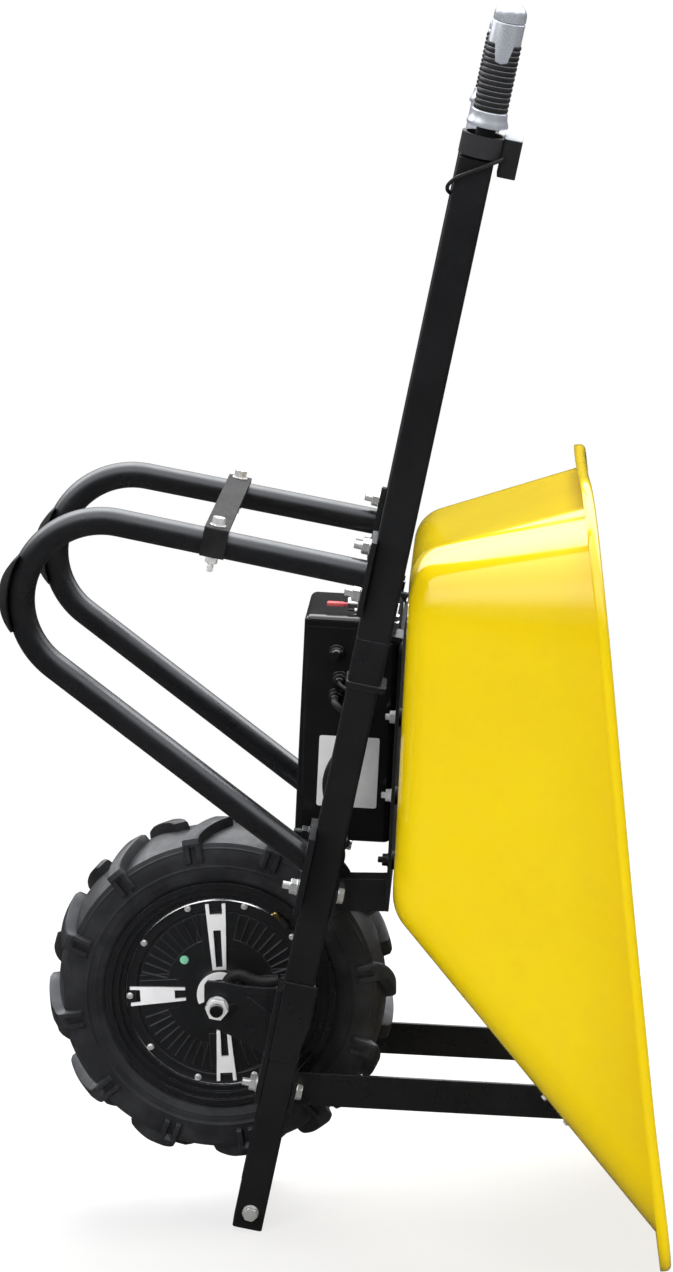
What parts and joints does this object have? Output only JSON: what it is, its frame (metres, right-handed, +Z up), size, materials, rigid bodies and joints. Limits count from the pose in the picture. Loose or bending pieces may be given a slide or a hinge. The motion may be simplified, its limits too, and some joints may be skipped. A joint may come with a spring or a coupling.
{
  "type": "electric wheelbarrow",
  "caption": "Single-wheel electric wheelbarrow stood on its nose for storage: pressed tray, tube frame with bent legs, hub motor wheel, battery case and twist throttle.",
  "frame": {"origin": "on the floor under the middle of the overall box; the barrow stands upright on its rail ends and on the tray's front lip", "axes": "+Z up towards the handles, +X towards the tray's open side, -Y the barrow's right-hand side with the throttle"},
  "size_m": [0.7783, 0.66, 1.4653],
  "materials": {
    "black_paint": "satin black powder coat",
    "yellow_paint": "glossy yellow powder coat",
    "zinc": "bright zinc plate",
    "tyre": "matt black tyre rubber",
    "black_rubber": "matt black rubber",
    "black_alloy": "black painted alloy with bright machined faces",
    "steel": "plain steel",
    "brass": "plain brass",
    "silver": "satin silver",
    "black_plastic": "matt black plastic",
    "pale_plastic": "pale glossy window",
    "red_plastic": "red plastic"
  },
  "bodies": {
    "frame": {"axle": "zinc", "axle_nuts": "zinc", "axle_washers": "zinc", "battery_case": "black_plastic", "battery_lid": "black_plastic", "battery_pack": "black_plastic", "cable_boot": "black_rubber", "charge_socket": "black_plastic", "clamp_bolts": "zinc", "controller": "silver", "display_box": "black_plastic", "display_window": "pale_plastic", "frame_bolts": "zinc", "key_switch": "steel", "left_axle_bracket": "black_paint", "left_grip": "black_rubber", "left_handle_tube": "black_paint", "left_leg": "black_paint", "left_leg_pad": "black_rubber", "left_rail": "black_paint", "left_rail_cheek": "black_paint", "left_rail_collar": "black_paint", "left_rail_packing": "black_paint", "left_tray_brace": "black_paint", "leg_strap": "black_paint", "motor_cable": "black_rubber", "motor_plug": "black_plastic", "mount_plate": "black_paint", "nose_bar": "black_paint", "rating_plate": "silver", "right_axle_bracket": "black_paint", "right_handle_tube": "black_paint", "right_leg": "black_paint", "right_leg_pad": "black_rubber", "right_rail": "black_paint", "right_rail_cheek": "black_paint", "right_rail_collar": "black_paint", "right_tray_brace": "black_paint", "right_tray_spacer": "black_paint", "stator": "steel", "throttle_cable": "black_rubber", "throttle_housing": "black_plastic", "throttle_plug": "black_plastic", "tray": "yellow_paint", "tray_bolts": "zinc"},
    "wheel": {"tyre": "tyre", "inner_tube": "black_rubber", "rim": "black_alloy", "magnet_ring": "steel", "wheel_bearings": "steel", "right_motor_cover": "black_alloy", "left_motor_cover": "black_alloy", "cover_screws": "zinc", "valve_stem": "brass", "valve_cap": "black_rubber"},
    "throttle": {"throttle_sleeve": "silver", "throttle_rubber": "black_rubber", "throttle_cap": "silver"},
    "key": {"key": "red_plastic"}
  },
  "joints": [
    {"name": "wheel_spin", "type": "hinge", "parent": "frame", "child": "wheel", "pos_m": [-0.148, 0, 0.28], "axis": [0, 1, 0], "continuous": true},
    {"name": "throttle_twist", "type": "hinge", "parent": "frame", "child": "throttle", "pos_m": [0.15729, -0.2309, 1.2913], "axis": [0.2024, -0.1142, 0.9726], "range_deg": [0, 65], "stiffness_Nm_per_rad": 0.25},
    {"name": "key_turn", "type": "hinge", "parent": "frame", "child": "key", "pos_m": [0.02024, -0.06, 0.7613], "axis": [-0.9988, 0, 0.0483], "range_deg": [0, 90]}
  ]
}
